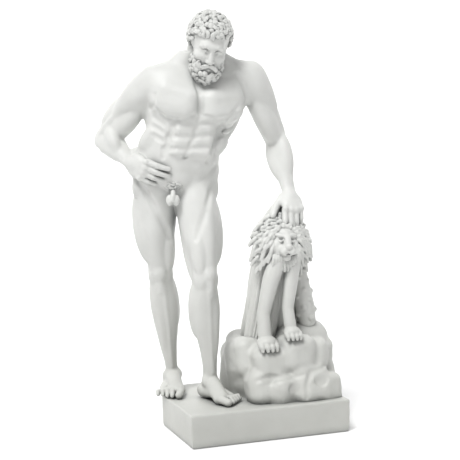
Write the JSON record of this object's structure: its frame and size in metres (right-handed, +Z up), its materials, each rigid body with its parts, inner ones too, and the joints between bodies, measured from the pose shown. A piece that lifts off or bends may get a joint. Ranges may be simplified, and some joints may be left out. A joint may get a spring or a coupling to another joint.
{
  "type": "classical hero statue",
  "caption": "Standing classical hero resting on a club draped with a lion skin, cast in one with its rock and its plinth, a slab with one cut corner; stands on the plinth's flat underside.",
  "frame": {"origin": "centre of the rectangle round the plinth's flat underside", "axes": "+Z up, +X to the figure's left (the viewer's right), -Y to the front"},
  "size_m": [0.3135, 0.1998, 0.6003],
  "materials": {
    "white_plaster": "satin"
  },
  "bodies": {
    "root": {"hercules_statue": "white_plaster"}
  },
  "joints": []
}
